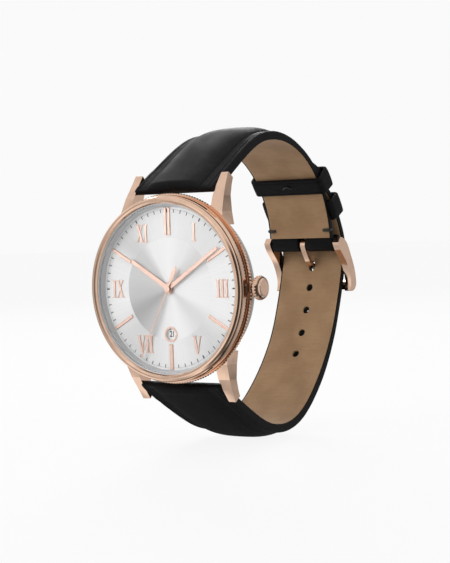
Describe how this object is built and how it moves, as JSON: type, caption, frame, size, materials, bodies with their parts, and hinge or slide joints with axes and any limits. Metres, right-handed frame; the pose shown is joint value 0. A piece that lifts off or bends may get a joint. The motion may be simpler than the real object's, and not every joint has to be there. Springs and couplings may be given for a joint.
{
  "type": "wristwatch",
  "caption": "Round analogue wristwatch with a date window, hands, a crown and a two-piece leather strap closed by a pin buckle and keepers.",
  "frame": {"origin": "centre of the case back's flat outer face, on the hands' axis", "axes": "+Z towards 12 o'clock, +X towards 3 o'clock and the crown, +Y out of the case back into the wrist loop, so the dial faces -Y"},
  "size_m": [0.0458, 0.0677, 0.074],
  "materials": {
    "rose_gold_polished": "polished rose gold plating on steel",
    "brushed_steel_back": "brushed steel",
    "sapphire": "clear glass",
    "gasket_rubber": "matt",
    "dial_silver": "silver sunray lacquer",
    "flange_grey": "satin silver",
    "date_ring_white": "white print",
    "movement_nickel": "nickel plated",
    "movement_brass": "plain brass",
    "movement_plastic": "matt moulded",
    "rotor_plastic": "matt moulded",
    "coil_copper": "enamelled copper wire",
    "circuit_green": "printed circuit",
    "battery_steel": "satin",
    "steel_plain": "turned steel",
    "black_leather": "smooth black calf",
    "tan_lining": "tan lining leather"
  },
  "bodies": {
    "case_and_strap": {"case_middle": "rose_gold_polished", "bezel": "rose_gold_polished", "crystal": "sapphire", "crystal_gasket": "gasket_rubber", "case_back": "brushed_steel_back", "case_back_gasket": "gasket_rubber", "dial": "dial_silver", "dial_flange": "flange_grey", "date_frame": "rose_gold_polished", "hour_batons": "rose_gold_polished", "hour_numerals": "rose_gold_polished", "main_plate": "movement_nickel", "train_bridge": "movement_nickel", "bridge_screws": "steel_plain", "movement_ring": "movement_plastic", "battery": "battery_steel", "battery_strap": "battery_steel", "coil": "coil_copper", "stator": "movement_nickel", "circuit_board": "circuit_green", "crown_tube": "movement_nickel", "lug_bar_12_tube": "steel_plain", "lug_bar_12_spring": "steel_plain", "lug_bar_6_tube": "steel_plain", "lug_bar_6_spring": "steel_plain", "buckle_bar_tube": "steel_plain", "buckle_bar_spring": "steel_plain", "strap_12_leather": "black_leather", "strap_12_lining": "tan_lining", "strap_6_lining": "tan_lining", "strap_6_leather": "black_leather", "fixed_keeper": "black_leather"},
    "hour_hand_and_wheel": {"hour_hand": "rose_gold_polished", "hour_wheel": "movement_brass"},
    "minute_hand_and_wheel": {"minute_hand": "rose_gold_polished", "centre_wheel": "movement_brass"},
    "seconds_hand_and_wheel": {"seconds_hand": "rose_gold_polished", "seconds_wheel": "movement_brass"},
    "third_wheel": {"third_wheel": "movement_brass"},
    "fifth_wheel": {"fifth_wheel": "rotor_plastic"},
    "rotor": {"rotor": "rotor_plastic"},
    "minute_wheel": {"minute_wheel": "movement_brass"},
    "date_wheel": {"date_wheel": "movement_brass"},
    "date_ring": {"date_ring": "date_ring_white"},
    "sliding_pinion": {"sliding_pinion": "steel_plain"},
    "crown_and_stem": {"crown": "rose_gold_polished", "stem": "steel_plain"},
    "free_keeper": {"free_keeper": "black_leather"},
    "buckle_frame": {"buckle_frame": "rose_gold_polished"},
    "buckle_tongue": {"buckle_tongue": "rose_gold_polished"},
    "lug_bar_12_pin_crown_side": {"lug_bar_12_pin_crown_side": "steel_plain"},
    "lug_bar_12_pin_far_side": {"lug_bar_12_pin_far_side": "steel_plain"},
    "lug_bar_6_pin_crown_side": {"lug_bar_6_pin_crown_side": "steel_plain"},
    "lug_bar_6_pin_far_side": {"lug_bar_6_pin_far_side": "steel_plain"},
    "buckle_bar_pin_crown_side": {"buckle_bar_pin_crown_side": "steel_plain"},
    "buckle_bar_pin_far_side": {"buckle_bar_pin_far_side": "steel_plain"}
  },
  "joints": [
    {"name": "seconds_hand_turn", "type": "hinge", "parent": "case_and_strap", "child": "seconds_hand_and_wheel", "pos_m": [0, -0.004, 0], "axis": [0, 1, 0], "continuous": true},
    {"name": "minute_hand_turn", "type": "hinge", "parent": "case_and_strap", "child": "minute_hand_and_wheel", "pos_m": [0, -0.004, 0], "axis": [0, 1, 0], "continuous": true},
    {"name": "hour_hand_turn", "type": "hinge", "parent": "case_and_strap", "child": "hour_hand_and_wheel", "pos_m": [0, -0.004, 0], "axis": [0, 1, 0], "continuous": true},
    {"name": "third_wheel_turn", "type": "hinge", "parent": "case_and_strap", "child": "third_wheel", "pos_m": [-0.0026, -0.003, 0.00219], "axis": [0, 1, 0], "continuous": true},
    {"name": "fifth_wheel_turn", "type": "hinge", "parent": "case_and_strap", "child": "fifth_wheel", "pos_m": [-0.00067, -0.003, -0.00379], "axis": [0, 1, 0], "continuous": true},
    {"name": "rotor_turn", "type": "hinge", "parent": "case_and_strap", "child": "rotor", "pos_m": [-0.00377, -0.003, -0.00492], "axis": [0, 1, 0], "continuous": true},
    {"name": "minute_wheel_turn", "type": "hinge", "parent": "case_and_strap", "child": "minute_wheel", "pos_m": [-0.00197, -0.005, -0.00138], "axis": [0, 1, 0], "continuous": true},
    {"name": "date_wheel_turn", "type": "hinge", "parent": "case_and_strap", "child": "date_wheel", "pos_m": [0.00124, -0.0058, 0.00464], "axis": [0, 1, 0], "continuous": true},
    {"name": "date_ring_turn", "type": "hinge", "parent": "case_and_strap", "child": "date_ring", "pos_m": [0, -0.0059, 0], "axis": [0, 1, 0], "continuous": true},
    {"name": "crown_turn", "type": "hinge", "parent": "case_and_strap", "child": "sliding_pinion", "pos_m": [0.008, -0.0046, 0], "axis": [1, 0, 0], "continuous": true},
    {"name": "crown_pull", "type": "slide", "parent": "sliding_pinion", "child": "crown_and_stem", "axis": [1, 0, 0], "range_m": [0, 0.0015]},
    {"name": "keeper_slide", "type": "hinge", "parent": "case_and_strap", "child": "free_keeper", "pos_m": [0, 0.0239, 0.0084], "axis": [1, 0, 0], "range_deg": [-1, 6]},
    {"name": "buckle_turn", "type": "hinge", "parent": "case_and_strap", "child": "buckle_frame", "pos_m": [0, 0.0514, 0.00811], "axis": [1, 0, 0], "range_deg": [-2, 1]},
    {"name": "tongue_turn", "type": "hinge", "parent": "case_and_strap", "child": "buckle_tongue", "pos_m": [0, 0.0514, 0.00811], "axis": [1, 0, 0], "range_deg": [0, 2]},
    {"name": "lug_bar_12_pin_crown_side_press", "type": "slide", "parent": "case_and_strap", "child": "lug_bar_12_pin_crown_side", "axis": [-1, 0, 0], "range_m": [0, 0.0013], "stiffness_N_per_m": 200, "springref_m": -0.0005},
    {"name": "lug_bar_12_pin_far_side_press", "type": "slide", "parent": "case_and_strap", "child": "lug_bar_12_pin_far_side", "axis": [1, 0, 0], "range_m": [0, 0.0013], "stiffness_N_per_m": 200, "springref_m": -0.0005},
    {"name": "lug_bar_6_pin_crown_side_press", "type": "slide", "parent": "case_and_strap", "child": "lug_bar_6_pin_crown_side", "axis": [-1, 0, 0], "range_m": [0, 0.0013], "stiffness_N_per_m": 200, "springref_m": -0.0005},
    {"name": "lug_bar_6_pin_far_side_press", "type": "slide", "parent": "case_and_strap", "child": "lug_bar_6_pin_far_side", "axis": [1, 0, 0], "range_m": [0, 0.0013], "stiffness_N_per_m": 200, "springref_m": -0.0005},
    {"name": "buckle_bar_pin_crown_side_press", "type": "slide", "parent": "case_and_strap", "child": "buckle_bar_pin_crown_side", "axis": [-1, 0, 0], "range_m": [0, 0.0013], "stiffness_N_per_m": 200, "springref_m": -0.0005},
    {"name": "buckle_bar_pin_far_side_press", "type": "slide", "parent": "case_and_strap", "child": "buckle_bar_pin_far_side", "axis": [1, 0, 0], "range_m": [0, 0.0013], "stiffness_N_per_m": 200, "springref_m": -0.0005}
  ],
  "couplings": [
    {"joint": "third_wheel_turn", "follows": "seconds_hand_turn", "ratio": -0.13333},
    {"joint": "minute_hand_turn", "follows": "seconds_hand_turn", "ratio": 0.016667},
    {"joint": "hour_hand_turn", "follows": "seconds_hand_turn", "ratio": 0.0013889},
    {"joint": "minute_wheel_turn", "follows": "seconds_hand_turn", "ratio": -0.0055556},
    {"joint": "date_wheel_turn", "follows": "seconds_hand_turn", "ratio": -0.00069444},
    {"joint": "date_ring_turn", "follows": "seconds_hand_turn", "ratio": 0.000022401},
    {"joint": "fifth_wheel_turn", "follows": "seconds_hand_turn", "ratio": -6},
    {"joint": "rotor_turn", "follows": "seconds_hand_turn", "ratio": 30}
  ]
}
